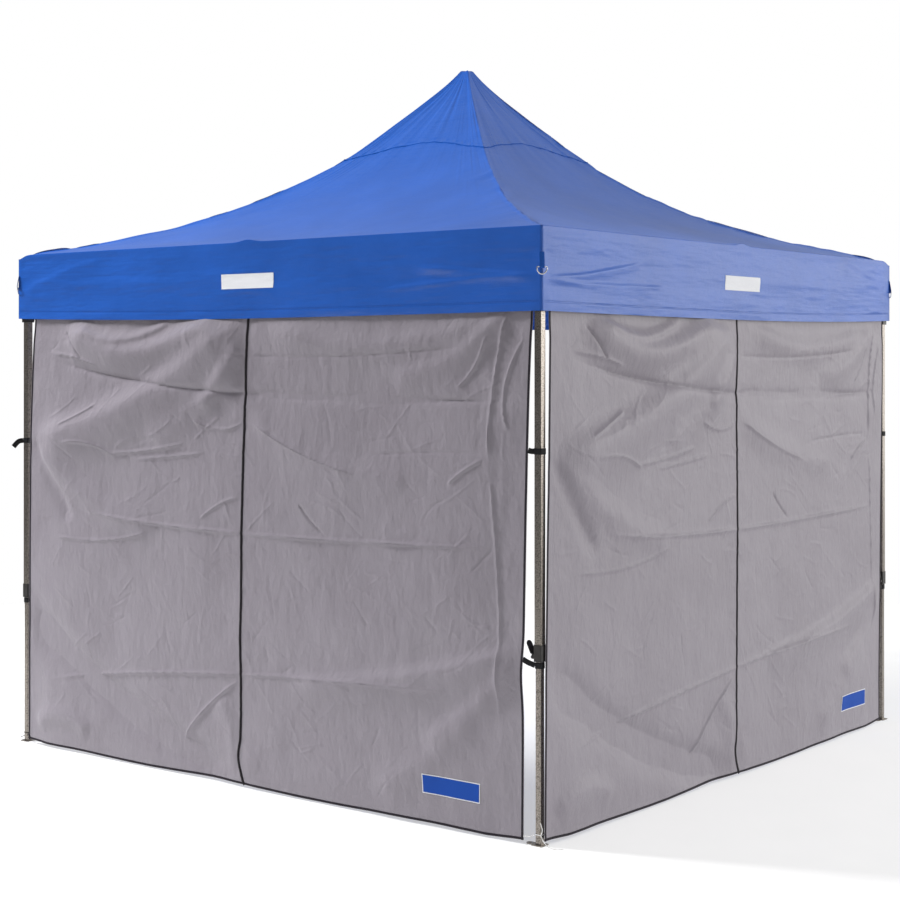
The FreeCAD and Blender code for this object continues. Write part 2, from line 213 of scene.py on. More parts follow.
def steel(name, colour, rough):
    material, tree, shader = new_material(name)
    streak = noise(tree, coordinates(tree, "Object"), 120.0, 3.0)
    mixed = ramp(tree, streak, ((0.3, tuple(0.8 * c for c in colour)), (0.7, colour)))
    paint(tree, shader, mixed, rough)
    shader.inputs["Metallic"].default_value = 1.0
    bump(tree, shader, streak, 0.08, 0.0002)
    return material


def webbing(name, colour, rough=0.8):
    material, tree, shader = new_material(name)
    rib = texture(tree, "Wave", coordinates(tree, "Object"), Scale=150.0, Distortion=0.6)
    rib.bands_direction = "DIAGONAL"
    lighter = tuple(min(1.0, c * 1.35 + 0.004) for c in colour)
    mixed = ramp(tree, rib.outputs["Fac"], ((0.2, colour), (0.9, lighter)))
    paint(tree, shader, mixed, rough)
    shader.inputs["Specular IOR Level"].default_value = 0.3
    bump(tree, shader, rib.outputs["Fac"], 0.4, 0.0004)
    return material


BLUE = fabric("CanopyFabric", (0.006, 0.088, 0.43), (0.008, 0.098, 0.47), (0.010, 0.108, 0.52),
              0.42, 0.02, (1.5, 1.5, 22.0), 0.34, 0.32)
BLUE_THREAD = webbing("BlueThread", (0.008, 0.07, 0.33))
GREY = fabric("WallFabric", (0.262, 0.238, 0.272), (0.278, 0.254, 0.290), (0.296, 0.272, 0.308),
              0.46, 0.03, (7.0, 7.0, 3.0), 0.75, 0.0, 0.32)
BINDING = webbing("EdgeBinding", (0.016, 0.013, 0.018))
BLACK_WEB = webbing("BlackWebbing", (0.008, 0.008, 0.009))
HAMMER = hammertone("HammertoneSteel")
NYLON = plastic("BlackNylon", (0.016, 0.014, 0.013), 0.42)
CHROME = steel("ZincRing", (0.86, 0.86, 0.86), 0.22)
ZINC = steel("ZincPlate", (0.55, 0.54, 0.52), 0.35)
PALE_TIE = plastic("PaleTie", (0.72, 0.71, 0.69), 0.4)
LABEL_WHITE = webbing("LabelWhite", (0.70, 0.71, 0.74))
LABEL_BLUE = webbing("LabelBlue", (0.008, 0.06, 0.33))


# ---------------------------------------------------------------- mesh helpers

def smooth_step(t):
    t = np.clip(t, 0.0, 1.0)
    return t * t * (3 - 2 * t)


def value_noise(x, y, seed, size=64):
    """Smooth noise from a seeded lattice, between -1 and 1."""
    lattice = np.random.default_rng(seed).uniform(-1, 1, (size, size))
    xi, yi = np.floor(x).astype(int), np.floor(y).astype(int)
    fx, fy = x - xi, y - yi
    fx = fx * fx * fx * (fx * (fx * 6 - 15) + 10)
    fy = fy * fy * fy * (fy * (fy * 6 - 15) + 10)
    x0, x1, y0, y1 = xi % size, (xi + 1) % size, yi % size, (yi + 1) % size
    low = lattice[x0, y0] * (1 - fx) + lattice[x1, y0] * fx
    high = lattice[x0, y1] * (1 - fx) + lattice[x1, y1] * fx
    return low * (1 - fy) + high * fy


def quarter_turn(points, k):
    """Points turned k quarters about Z."""
    x, y = points[..., 0].copy(), points[..., 1].copy()
    for _ in range(k):
        x, y = -y, x
    return np.stack([x, y, points[..., 2]], axis=-1)


def unit(vectors):
    return vectors / np.maximum(np.linalg.norm(vectors, axis=-1, keepdims=True), 1e-12)


def mesh_object(name, vertices, faces, material, uv=None, normals=None):
    mesh = bpy.data.meshes.new(name)
    mesh.from_pydata([tuple(v) for v in vertices], [], [tuple(f) for f in faces])
    mesh.materials.append(material)
    if uv is not None:
        layer = mesh.uv_layers.new(name="FlatCut")
        corner_vertex = np.empty(len(mesh.loops), int)
        mesh.loops.foreach_get("vertex_index", corner_vertex)
        layer.data.foreach_set("uv", np.asarray(uv, float)[corner_vertex].ravel())
    mesh.polygons.foreach_set("use_smooth", [True] * len(mesh.polygons))
    mesh.update()
    if normals is not None:
        mesh.normals_split_custom_set_from_vertices([tuple(n) for n in normals])
    obj = bpy.data.objects.new(name, mesh)
    bpy.context.scene.collection.objects.link(obj)
    return obj


def grid_faces(rows, columns, offset=0, flip=False):
    r, c = np.meshgrid(np.arange(rows - 1), np.arange(columns - 1), indexing="ij")
    a = (offset + r * columns + c).ravel()
    quads = np.stack([a, a + 1, a + columns + 1, a + columns], axis=1)
    return quads[:, ::-1] if flip else quads


def grid_normals(points):
    """Unit normals of a grid of points, by differences along both ways."""
    return unit(np.cross(np.gradient(points, axis=1), np.gradient(points, axis=0)))


def cloth_from_grid(name, points, normals, flat, material, thick=CLOTH_THICK):
    """A closed thin sheet: its outer face is the grid, and the inner one lies a cloth's thickness behind."""
    rows, columns = points.shape[:2]
    count = rows * columns
    outer, n = points.reshape(-1, 3), normals.reshape(-1, 3)
    inner = outer - n * thick
    faces = list(grid_faces(rows, columns)) + list(grid_faces(rows, columns, count, True))
    ring = list(range(columns)) + [r * columns + columns - 1 for r in range(1, rows)]
    ring += [(rows - 1) * columns + c for c in range(columns - 2, -1, -1)]
    ring += [r * columns for r in range(rows - 2, 0, -1)]
    for a, b in zip(ring, ring[1:] + ring[:1]):
        faces.append((b, a, a + count, b + count))
    uv = np.concatenate([flat.reshape(-1, 2)] * 2)
    return mesh_object(name, np.concatenate([outer, inner]), faces, material, uv,
                       np.concatenate([n, -n]))


def bent_line(start, middle, end, count=13):
    """A smooth line through three points."""
    start, middle, end = (np.array(p, float) for p in (start, middle, end))
    t = np.linspace(0, 1, count)[:, None]
    pull = 2 * middle - (start + end) / 2
    return (1 - t) ** 2 * start + 2 * t * (1 - t) * pull + t * t * end


def curved_path(points, count=24):
    """A Catmull-Rom path through a few points in space."""
    p = np.asarray(points, float)
    p = np.vstack([2 * p[0] - p[1], p, 2 * p[-1] - p[-2]])
    out = []
    for s in np.linspace(0, len(p) - 3 - 1e-9, count):
        i = int(s)
        t = s - i
        a, b, c, d = p[i:i + 4]
        out.append(0.5 * (2 * b + (c - a) * t + (2 * a - 5 * b + 4 * c - d) * t ** 2
                          + (3 * b - a - 3 * c + d) * t ** 3))
    return np.array(out)


def line_distance(x, y, line):
    """Signed distance to a line of points (positive on its left), and how far along it, 0 to 1."""
    best = np.full(x.shape, 1e9)
    side = np.ones(x.shape)
    along = np.zeros(x.shape)
    steps = np.linalg.norm(np.diff(line, axis=0), axis=1)
    total, done = steps.sum(), 0.0
    for (ax, ay), (bx, by), step in zip(line[:-1], line[1:], steps):
        ux, uy = (bx - ax) / step, (by - ay) / step
        t = np.clip((x - ax) * ux + (y - ay) * uy, 0, step)
        dx, dy = x - (ax + t * ux), y - (ay + t * uy)
        d = np.hypot(dx, dy)
        near = d < best
        best = np.where(near, d, best)
        side = np.where(near, np.where(ux * dy - uy * dx < 0, -1.0, 1.0), side)
        along = np.where(near, (done + t) / total, along)
        done += step
    return best * side, along


def fold_relief(x, z, folds, size, sharp):
    """Height of all the folds at x, z. Each fold is start, middle, end (as shares of the panel's size),
    height, and width above and below its line. A sharp fold is a crease, and a soft one a rounded ridge."""
    relief = np.zeros(x.shape)
    for start, middle, end, height, above, below in folds:
        line = bent_line(start, middle, end) * size
        pad = 3.2 * max(above, below)
        low, high = line.min(axis=0) - pad, line.max(axis=0) + pad
        near = (x > low[0]) & (x < high[0]) & (z > low[1]) & (z < high[1])
        if not near.any():
            continue
        distance, along = line_distance(x[near], z[near], line)
        reach = np.abs(distance) / np.where(distance > 0, above, below)
        ends = smooth_step(along / 0.15) * smooth_step((1 - along) / 0.15)
        if sharp:
            relief[near] += height * np.exp(-1.6 * reach) * ends
        else:
            relief[near] += height * np.exp(-reach ** 2) * (0.12 + 0.88 * ends)
    return relief


def tube_along(name, path, radius, material, sides=8, closed=False, flat=None):
    """A round tube or a flat tape swept along a path.
    Flat is the tape's half width, its half thickness and the direction that it is wide in."""
    path = np.asarray(path, float)
    count = len(path)
    if closed:
        tangent = unit(np.roll(path, -1, axis=0) - np.roll(path, 1, axis=0))
    else:
        tangent = unit(np.gradient(path, axis=0))
    reference = np.array([0.0, 0.0, 1.0]) if flat is None else np.asarray(flat[2], float)
    wide = reference - tangent * (tangent @ reference)[:, None]
    weak = np.linalg.norm(wide, axis=1) < 1e-3
    wide[weak] = np.cross(tangent[weak], [1.0, 0.0, 0.0])
    wide = unit(wide)
    deep = np.cross(tangent, wide)
    angle = 2 * math.pi * np.arange(sides) / sides
    c, s = np.cos(angle), np.sin(angle)
    if flat is None:
        c, s = radius * c, radius * s
    else:
        # Squarer than an ellipse, as woven tape is
        c = flat[0] * np.sign(c) * np.abs(c) ** 0.5
        s = flat[1] * np.sign(s) * np.abs(s) ** 0.5
    rings = path[:, None] + wide[:, None] * c[None, :, None] + deep[:, None] * s[None, :, None]
    vertices = rings.reshape(-1, 3)
    faces = []
    for i in range(count if closed else count - 1):
        for k in range(sides):
            j, n = (k + 1) % sides, (i + 1) % count
            faces.append((i * sides + k, i * sides + j, n * sides + j, n * sides + k))
    if not closed:
        faces.append(tuple(range(sides))[::-1])
        faces.append(tuple((count - 1) * sides + k for k in range(sides)))
    return mesh_object(name, vertices, faces, material)


# ---------------------------------------------------------------- roof

TIP_HALF = 0.020           # the flat top over the pole's cap
NECK_DROP = 0.045          # how far the cloth drops steeply just below it
NECK_RUN = 0.070
STRAIGHT_RUN = 0.29        # how far a hip then runs straight before it flattens
FLATTEN_RUN = 0.685        # the run over which its slope then falls off
CAP_CORNER = 0.42          # distance out where the cap's seam meets a hip
CAP_MIDDLE = 0.35          # and where it crosses the middle of a slope
CORNER_DROP = (0.0, 0.022, 0.016, 0.020)   # how far the cloth rounds down over each corner of the frame
GORES = 16
GORE_ROWS = 120
GORE_COLUMNS = 13
SEAM_STEPS = 12            # points along the cap's seam in each gore, less one


def roof_height(m):
    """Height of a hip at a distance out: steep below the tip, straight, then flattening to the leg."""
    def fall(run):
        past = np.maximum(run - STRAIGHT_RUN, 0)
        return np.minimum(run, STRAIGHT_RUN) + FLATTEN_RUN * (1 - np.exp(-past / FLATTEN_RUN))

    run = np.maximum(m - TIP_HALF, 0)
    neck = NECK_DROP * (1 - np.exp(-run / NECK_RUN))
    return APEX_Z - neck - (APEX_Z - NECK_DROP - EAVE_Z) * fall(run) / fall(np.array(HALF - TIP_HALF))


def cap_edge(s):
    return CAP_MIDDLE + (CAP_CORNER - CAP_MIDDLE) * np.abs(s) ** 2


def roof_points(s, m, side):
    """Points of one slope, for place across it s (-1 to 1) and distance out m."""
    z = roof_height(m)
    across = s * m
    from_hip = (1 - np.abs(s)) * m
    # Cloth between two hips sags a little, most where the slope is long
    z = z - 0.018 * (1 - s * s) * smooth_step((m - 0.15) / 0.7) * (1 - smooth_step((m - 1.2) / 0.3))
    # Raised hip seam
    z = z + 0.0045 * np.exp(-(from_hip / 0.012) ** 2) * (1 - smooth_step((m - 1.4) / 0.1))
    # Pull lines fan out from the peak, and puckers run off the hips
    fan = value_noise(s * 9.0 + side * 3.7 + 7, m * 2.2 + side * 5, 11)
    z = z + 0.0045 * fan * np.exp(-((m - 0.22) / 0.22) ** 2) * smooth_step(m / 0.06)
    pucker = value_noise(across * 9 + m * 19 + side * 9, from_hip * 5 + 3, 12)
    eave_calm = 1 - smooth_step((m - 1.36) / 0.14)
    z = z + 0.0060 * pucker * np.exp(-from_hip / 0.10) * smooth_step(m / 0.20) * eave_calm
    pull = value_noise(np.abs(s) * 42 + side * 3.7, m * 4 + side * 5, 15)
    z = z + 0.0022 * pull * np.exp(-(1 - np.abs(s)) / 0.35) * np.exp(-((m - 0.35) / 0.35) ** 2)
    wave = value_noise(across * 1.7 + 20 + side * 4, m * 2.6 + side, 13)
    z = z + 0.007 * wave * smooth_step((m - 0.3) / 0.4) * eave_calm
    fine = value_noise(across * 7 + 40 + side * 2, m * 9 + 3 * side, 14)
    z = z + 0.0016 * fine * smooth_step(m / 0.2) * eave_calm
    # Cap seam: the cap lies over the lower panels with a stitched edge
    inside = cap_edge(s) - m
    z = z + 0.0026 * smooth_step(inside / 0.004 + 0.5)
    z = z - 0.0018 * np.exp(-((inside - 0.014) / 0.003) ** 2)
    # The middle bracket lifts the eave a little
    z = z + 0.010 * np.exp(-(across / 0.05) ** 2) * np.exp(-((HALF - m) / 0.09) ** 2)
    for corner, end in ((side, 1), ((side - 1) % 4, -1)):
        away = np.hypot(HALF - m, (1 - end * s) * HALF)
        z = z - CORNER_DROP[corner] * np.exp(-(away / 0.045) ** 2)
    return np.stack([across, -m, z], axis=-1)


def roof_grid(side):
    """The whole slope at once, so that its gores share points and normals."""
    m = HALF * np.linspace(0, 1, GORE_ROWS) ** 1.25
    m[0] = 0.0015
    s = np.linspace(-1, 1, GORES * (GORE_COLUMNS - 1) + 1)
    mm, ss = np.meshgrid(m, s, indexing="ij")
    step = 1e-4
    down = roof_points(ss, mm - step, side) - roof_points(ss, mm + step, side)
    right = roof_points(np.minimum(ss + step, 1), mm, side) - roof_points(np.maximum(ss - step, -1), mm, side)
    return roof_points(ss, mm, side), unit(np.cross(right, down))


roof_sides = [roof_grid(k) for k in range(4)]
for k in range(4):
    points, normal = roof_sides[k]
    # At a hip the two slopes share one normal, half way between theirs
    shared = normal.copy()
    shared[:, 0] = normal[:, 0] + quarter_turn(roof_sides[k - 1][1], 3)[:, -1]
    shared[:, -1] = normal[:, -1] + quarter_turn(roof_sides[(k + 1) % 4][1], 1)[:, 0]
    shared = unit(shared)
    flat = np.stack([points[..., 0] + 4 * k, np.hypot(points[..., 1], points[..., 2] - APEX_Z)], axis=-1)
    for g in range(GORES):
        columns = slice(g * (GORE_COLUMNS - 1), (g + 1) * (GORE_COLUMNS - 1) + 1)
        seam_s = np.linspace(-1, 1, GORES * SEAM_STEPS + 1)[g * SEAM_STEPS:(g + 1) * SEAM_STEPS + 1]
        seam = roof_points(seam_s, cap_edge(seam_s), k) + (0, 0, 0.0008)
        hem = tube_along("cap_hem_%s_%d" % (SIDES[k], g + 1), quarter_turn(seam, k), 0, BLUE_THREAD,
                         flat=(0.0028, 0.0008, tuple(quarter_turn(np.array([0.0, -1.0, -1.0]), k))))
        part = quarter_turn(points[:, columns], k)[:, ::-1]
        part_normal = quarter_turn(shared[:, columns], k)[:, ::-1]
        gore = cloth_from_grid("roof_panel_%s_%d" % (SIDES[k], g + 1), part, part_normal,
                               flat[:, columns][:, ::-1], BLUE)
        out = unit(part[-1, GORE_COLUMNS // 2] - part[0, GORE_COLUMNS // 2])
        for piece in (gore, hem):
            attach(piece, "peak_pole")
            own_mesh(piece)
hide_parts("canopy")

# ---------------------------------------------------------------- valances

VALANCE_HEIGHT = EAVE_Z - VALANCE_BOTTOM
VALANCE_SIZE = np.array([2 * HALF, VALANCE_HEIGHT])
VALANCE_TAPER = 0.05
HEM_WIDTH = 0.032
HEM_SAG = 0.006
# How far the hem rises towards the left and right end of each side, as the frame stands
HEM_RISE = ((0.016, 0.0), (0.0, 0.018), (0.018, 0.012), (0.012, 0.016))

# Soft folds as shares of a side's width and of its height above the hem, left to right
VALANCE_FOLDS = (
    (((0.80, 0.58), (0.91, 0.48), (0.99, 0.42), 0.0050, 0.008, 0.020),
     ((0.74, 0.30), (0.90, 0.40), (0.99, 0.41), 0.0040, 0.008, 0.016),
     ((0.05, 0.62), (0.30, 0.50), (0.52, 0.60), 0.0040, 0.025, 0.040),
     ((0.40, 0.30), (0.62, 0.36), (0.90, 0.28), 0.0030, 0.022, 0.030),
     ((0.01, 0.40), (0.09, 0.66), (0.20, 0.86), 0.0050, 0.020, 0.040)),
    (((0.01, 0.40), (0.10, 0.46), (0.24, 0.66), 0.0060, 0.008, 0.022),
     ((0.01, 0.38), (0.12, 0.34), (0.30, 0.36), 0.0045, 0.008, 0.016),
     ((0.12, 0.22), (0.38, 0.28), (0.60, 0.20), 0.0030, 0.022, 0.030),
     ((0.48, 0.60), (0.70, 0.50), (0.95, 0.62), 0.0040, 0.025, 0.040),
     ((0.82, 0.86), (0.92, 0.66), (0.99, 0.42), 0.0050, 0.020, 0.040)),
)


def valance_bottom(x, side):
    left, right = HEM_RISE[side]
    rise = left * (np.maximum(-x, 0) / HALF) ** 2 + right * (np.maximum(x, 0) / HALF) ** 2
    return VALANCE_BOTTOM - HEM_SAG * (1 - (x / HALF) ** 2) + rise


def valance_points(x, drop, side):
    """One side's valance. Drop runs from 0 at the eave to 1 at the hem's edge."""
    top = roof_points(x / HALF, np.full(x.shape, HALF), side)[..., 2]
    bottom = valance_bottom(x, side)
    z = top + (bottom - top) * drop
    relief = fold_relief(x + HALF, z - VALANCE_BOTTOM, VALANCE_FOLDS[side % 2], VALANCE_SIZE, False)
    relief += 0.0030 * value_noise(x * 2.1 + side * 5, z * 13, 21 + side)
    relief += 0.0013 * value_noise(x * 6 + side * 3, z * 40, 31 + side)
    relief += 0.0006 * value_noise(x * 17, z * 85 + side, 41 + side)
    corner = smooth_step((HALF - np.abs(x)) / VALANCE_TAPER)
    relief *= corner * smooth_step(drop / 0.12)
    above_hem = (z - bottom) - HEM_WIDTH
    relief += 0.0011 * smooth_step(-above_hem / 0.003 + 0.5) * corner
    relief -= 0.0013 * np.exp(-(above_hem / 0.0028) ** 2) * corner
    # The cloth turns round the corner on a small radius
    relief -= 0.003 * (1 - smooth_step((HALF - np.abs(x)) / 0.008))
    return np.stack([x, -HALF - relief, z], axis=-1)


def fold_with(piece, side):
    """A piece of one side's cloth is fixed to that side's upper middle bracket, and moves with it as the
    frame folds.
    """
    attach(piece, "mid_bracket_upper_" + side)
    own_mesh(piece)
    return piece


def stitch_row(name, centres, along, outward, material, length=0.0042, half=0.00045):
    """Small raised stitches, one at each centre, lying along a direction."""
    across = np.cross(outward, along)
    vertices, faces = [], []
    for c, a, o, w in zip(centres, along, outward, across):
        base = len(vertices)
        for end in (-1, 1):
            for u, v in ((-1, -0.4), (1, -0.4), (0.6, 1), (-0.6, 1)):
                taper = 1.0 if v < 0 else 0.7
                vertices.append(c + a * end * length / 2 * taper + w * u * half + o * v * half)
        faces += [(base, base + 1, base + 2, base + 3), (base + 7, base + 6, base + 5, base + 4)]
        for i in range(4):
            j = (i + 1) % 4
            faces.append((base + i, base + 4 + i, base + 4 + j, base + j))
    return mesh_object(name, vertices, faces, material)


def stitch_places(line, facing, pitch):
    """Evenly spaced places along a line of points, with directions, for a row of stitches."""
    run = np.concatenate([[0], np.cumsum(np.linalg.norm(np.diff(line, axis=0), axis=1))])
    at = np.arange(pitch, run[-1] - pitch, pitch)
    centre = np.stack([np.interp(at, run, line[:, i]) for i in range(3)], axis=1)
    ahead = np.stack([np.interp(at + pitch / 2, run, line[:, i]) for i in range(3)], axis=1)
    out = np.tile(np.asarray(facing, float), (len(at), 1))
    return centre + out * 0.0003, unit(ahead - centre), out


CORNER_STRIP = 0.06
valance_x = np.concatenate([
    np.linspace(-HALF, -HALF + CORNER_STRIP, 13)[:-1],
    np.linspace(-HALF + CORNER_STRIP, HALF - CORNER_STRIP, 289),
    np.linspace(HALF - CORNER_STRIP, HALF, 13)[1:],
])
valance_drop = np.concatenate([np.linspace(0, 0.84, 70)[:-1], np.linspace(0.84, 1.0, 20)])
drop_grid, x_grid = np.meshgrid(valance_drop, valance_x, indexing="ij")
seam_x = np.linspace(-HALF + 0.012, HALF - 0.012, 400)
for k, side in enumerate(SIDES):
    points = quarter_turn(valance_points(x_grid, drop_grid, k), k)[:, ::-1]
    normal = grid_normals(points)
    # The eave has no sharp edge: its normals lean up towards the roof's
    up = np.array([0.0, 0.0, 1.0])
    normal[0] = unit(normal[0] + unit(normal[0] * 0.3 + up))
    flat = np.stack([x_grid + 4 * k, drop_grid * VALANCE_HEIGHT], axis=-1)[:, ::-1]
    valance = cloth_from_grid("valance_" + side, points, normal, flat, BLUE)
    fold_with(valance, side)
    rows = []
    facing = quarter_turn(np.array([0.0, -1.0, 0.0]), k)
    top = roof_points(seam_x / HALF, np.full(seam_x.shape, HALF), k)[..., 2]
    for height in (HEM_WIDTH, HEM_WIDTH + 0.006):
        bottom = valance_bottom(seam_x, k)
        line = valance_points(seam_x, (top - bottom - height) / (top - bottom), k)
        rows.append(stitch_places(quarter_turn(line, k), facing, 0.0062))
    centre, along, out = (np.concatenate([r[i] for r in rows]) for i in range(3))
    stitches = stitch_row("valance_stitching_" + side, centre, along, out, BLUE_THREAD)
    fold_with(stitches, side)

# ---------------------------------------------------------------- walls

WALL_COLUMNS = 480
WALL_ROWS = 345
FOLD_DEPTH = 1.6            # what the heights of the folds below are multiplied by
CREASE_DEPTH = 1.9          # and those of the creases
WALL_GAP = 0.0012           # how far the cloth lies behind the frame's plane for it at its edges
ZIP_SHARE = 0.492
BINDING_HALF = 0.0046

# Each edge leans out from its place at the hem: by this much at the hem and at the top, and with this power
EDGE_LEAN = {
    "front": ((-0.015, 0.030, 4.0), (0.001, 0.044, 2.2)),
    "right": ((-0.015, 0.022, 1.3), (0.005, 0.058, 1.2)),
}

# Soft folds of either wall, as shares of its width and height, left to right:
# start, middle, end, height in metres, width above the line and below it
WALL_FOLDS = (
    ((0.11, 0.96), (0.21, 0.92), (0.33, 0.96), 0.010, 0.022, 0.020),
    ((0.08, 0.96), (0.25, 0.89), (0.44, 0.98), 0.026, 0.055, 0.080),
    ((0.01, 0.69), (0.27, 0.79), (0.48, 0.96), 0.028, 0.070, 0.140),
    ((0.40, 0.77), (0.45, 0.85), (0.48, 0.91), 0.008, 0.040, 0.040),
    ((0.28, 0.70), (0.39, 0.77), (0.48, 0.86), 0.007, 0.060, 0.070),
    ((0.00, 0.33), (0.20, 0.15), (0.48, 0.02), -0.018, 0.060, 0.090),
    ((0.00, 0.70), (0.05, 0.62), (0.11, 0.51), -0.010, 0.030, 0.045),
    ((0.01, 0.68), (0.16, 0.57), (0.31, 0.50), 0.009, 0.055, 0.060),
    ((0.58, 0.23), (0.80, 0.27), (1.00, 0.35), 0.014, 0.035, 0.085),
    ((0.83, 0.15), (0.93, 0.24), (0.99, 0.34), 0.008, 0.035, 0.050),
    ((0.52, 0.95), (0.72, 0.90), (0.94, 0.95), 0.010, 0.045, 0.060),
    ((0.76, 0.84), (0.88, 0.88), (0.96, 0.98), 0.009, 0.040, 0.060),
    ((0.49, 0.77), (0.63, 0.68), (0.81, 0.64), 0.008, 0.045, 0.070),
    ((0.02, 0.05), (0.09, 0.08), (0.16, 0.05), 0.010, 0.040, 0.050),
    ((0.44, 0.18), (0.48, 0.11), (0.50, 0.02), 0.008, 0.050, 0.060),
    ((0.75, 0.05), (0.84, 0.12), (0.93, 0.21), 0.007, 0.045, 0.070),
)

# Creases left by the folded storage, then the short ones that the pull of the ties makes
WALL_CREASES = (
    ((0.04, 0.88), (0.42, 0.81), (0.99, 0.80), -0.0090, 0.020, 0.020),
    ((0.12, 0.55), (0.42, 0.52), (0.96, 0.53), 0.0062, 0.008, 0.009),
    ((0.04, 0.15), (0.40, 0.22), (0.91, 0.26), 0.0056, 0.008, 0.009),
    ((0.36, 0.06), (0.41, 0.14), (0.49, 0.22), 0.0060, 0.009, 0.009),
    ((0.42, 0.89), (0.64, 0.88), (0.91, 0.90), -0.0030, 0.007, 0.007),
    ((0.73, 0.69), (0.84, 0.70), (0.93, 0.70), -0.0028, 0.006, 0.006),
    ((0.50, 0.75), (0.60, 0.69), (0.71, 0.65), 0.0050, 0.009, 0.009),
    ((0.60, 0.59), (0.62, 0.56), (0.65, 0.53), -0.0042, 0.006, 0.006),
    ((0.09, 0.69), (0.16, 0.69), (0.22, 0.66), 0.0048, 0.008, 0.008),
    ((0.19, 0.67), (0.28, 0.68), (0.37, 0.70), 0.0045, 0.008, 0.008),
    ((0.26, 0.66), (0.34, 0.67), (0.41, 0.68), 0.0042, 0.007, 0.007),
    ((0.38, 0.75), (0.44, 0.73), (0.49, 0.75), 0.0045, 0.007, 0.007),
    ((0.40, 0.54), (0.45, 0.58), (0.49, 0.59), 0.0038, 0.007, 0.007),
    ((0.06, 0.48), (0.19, 0.48), (0.30, 0.51), 0.0042, 0.007, 0.007),
    ((0.05, 0.89), (0.11, 0.88), (0.17, 0.86), 0.0050, 0.009, 0.009),
    ((0.08, 0.73), (0.12, 0.75), (0.17, 0.78), 0.0050, 0.008, 0.008),
    ((0.08, 0.94), (0.11, 0.90), (0.13, 0.87), -0.0045, 0.007, 0.007),
    ((0.94, 0.68), (0.94, 0.80), (0.96, 0.97), 0.0052, 0.007, 0.007),
    ((0.96, 0.20), (0.96, 0.40), (0.94, 0.68), 0.0040, 0.007, 0.007),
    ((0.97, 0.74), (0.96, 0.82), (0.99, 0.92), 0.0048, 0.007, 0.007),
    ((0.87, 0.64), (0.90, 0.67), (0.93, 0.69), 0.0045, 0.007, 0.007),
    ((0.88, 0.82), (0.91, 0.86), (0.93, 0.92), 0.0042, 0.008, 0.008),
)


class Wall:
    """One wall's place in the frame, as if it faced -Y, and the turn that puts it on its side."""

    def __init__(self, side):
        self.side = side
        self.turn = SIDES.index(side)
        low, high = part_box("wall_" + side)
        across = 0 if side == "front" else 1
        self.left, self.right = low[across], high[across]
        self.plane = max(abs(low[1 - across]), abs(high[1 - across]))
        self.size = np.array([self.right - self.left, WALL_TOP])

    def edges(self, z):
        up = np.clip(z / WALL_TOP, 0, 1)
        (a, b, c), (d, e, f) = EDGE_LEAN[self.side]
        notch = 0.010 * np.exp(-((z - 0.62) / 0.10) ** 2) if self.side == "front" else 0
        return self.left + a + (b - a) * up ** c, self.right + d + (e - d) * up ** f - notch

    def hem(self, share):
        lift = smooth_step((0.06 - share) / 0.06) + smooth_step((share - 0.94) / 0.06)
        return 0.010 + 0.008 * lift + 0.003 * np.sin(share * 17)

    def points(self, share, rise):
        """Points from the share across it (0 left) and up it (0 hem), before its turn."""
        bottom = self.hem(share)
        z = bottom + (WALL_TOP - bottom) * rise
        left, right = self.edges(z)
        x = left + (right - left) * share
        relief = wall_relief(share * self.size[0], z, self.size)
        # The edges are tied to the legs, and the top is held straight inside the valance
        edge = np.minimum(share, 1 - share) * self.size[0]
        relief *= 0.25 + 0.75 * smooth_step(edge / 0.10)
        relief *= 1 - 0.93 * smooth_step((z - 1.90) / 0.10)
        relief -= 0.004 * smooth_step((z - 1.85) / 0.1)
        relief += 0.012 * smooth_step((1.7 - z) / 0.8) * smooth_step(edge / 0.3)
        relief += 0.0008 * smooth_step((0.022 - (z - bottom)) / 0.003)
        relief = np.maximum(relief, -0.010)
        return np.stack([x, -self.plane + WALL_GAP - relief, z], axis=-1)

    def line(self, share, rise, lift):
        """A line on the wall, standing a little out of it, in place."""
        points = self.points(share, rise)
        points[..., 1] -= lift
        return quarter_turn(points, self.turn)

    def direction(self, x, y, z=0.0):
        return quarter_turn(np.array([x, y, z], float), self.turn)

    def zip_share(self, z):
        """The zip runs straight up, with a small kick to each side near the hem."""
        kick = 0.030 * np.exp(-z / 0.035) - 0.014 * np.exp(-((z - 0.12) / 0.06) ** 2) - 0.012 * z / WALL_TOP
        return ZIP_SHARE + kick / self.size[0]

    def zip_line(self, count, lift):
        z = np.linspace(0.012, WALL_TOP - 0.01, count)
        share = self.zip_share(z)
        bottom = self.hem(share)
        return self.line(share, np.clip((z - bottom) / (WALL_TOP - bottom), 0, 1), lift)

    def fix(self, piece, slot_name):
        return fold_with(piece, self.side)


def wall_relief(x, z, size):
    """How far the cloth stands out of its plane, for either wall, before its edges are tied in."""
    relief = FOLD_DEPTH * fold_relief(x, z, WALL_FOLDS, size, False)
    relief += CREASE_DEPTH * fold_relief(x, z, WALL_CREASES, size, True)
    relief += 0.0060 * value_noise(x * 1.9 + 5, z * 1.9 + 5, 51)
    relief += 0.0026 * value_noise(x * 5.3 + 9, z * 4.1 + 2, 52)
    relief += 0.0011 * value_noise(x * 13 + 2, z * 9 + 7, 53)
    # Small puckers beside the zip, and upright ones along the right-hand edge
    from_zip = np.abs(x - ZIP_SHARE * size[0])
    relief *= 1 - 0.8 * np.exp(-(from_zip / 0.05) ** 2)
    relief += 0.0016 * np.exp(-from_zip / 0.05) * value_noise(x * 9, z * 26, 54)
    from_edge = np.abs(x - 0.965 * size[0])
    relief += 0.0038 * np.exp(-from_edge / 0.11) * value_noise(x * 17 + 3, z * 3.1 + 1, 55)
    return relief + fold_relief(x, z, FAINT_CREASES, size, True)


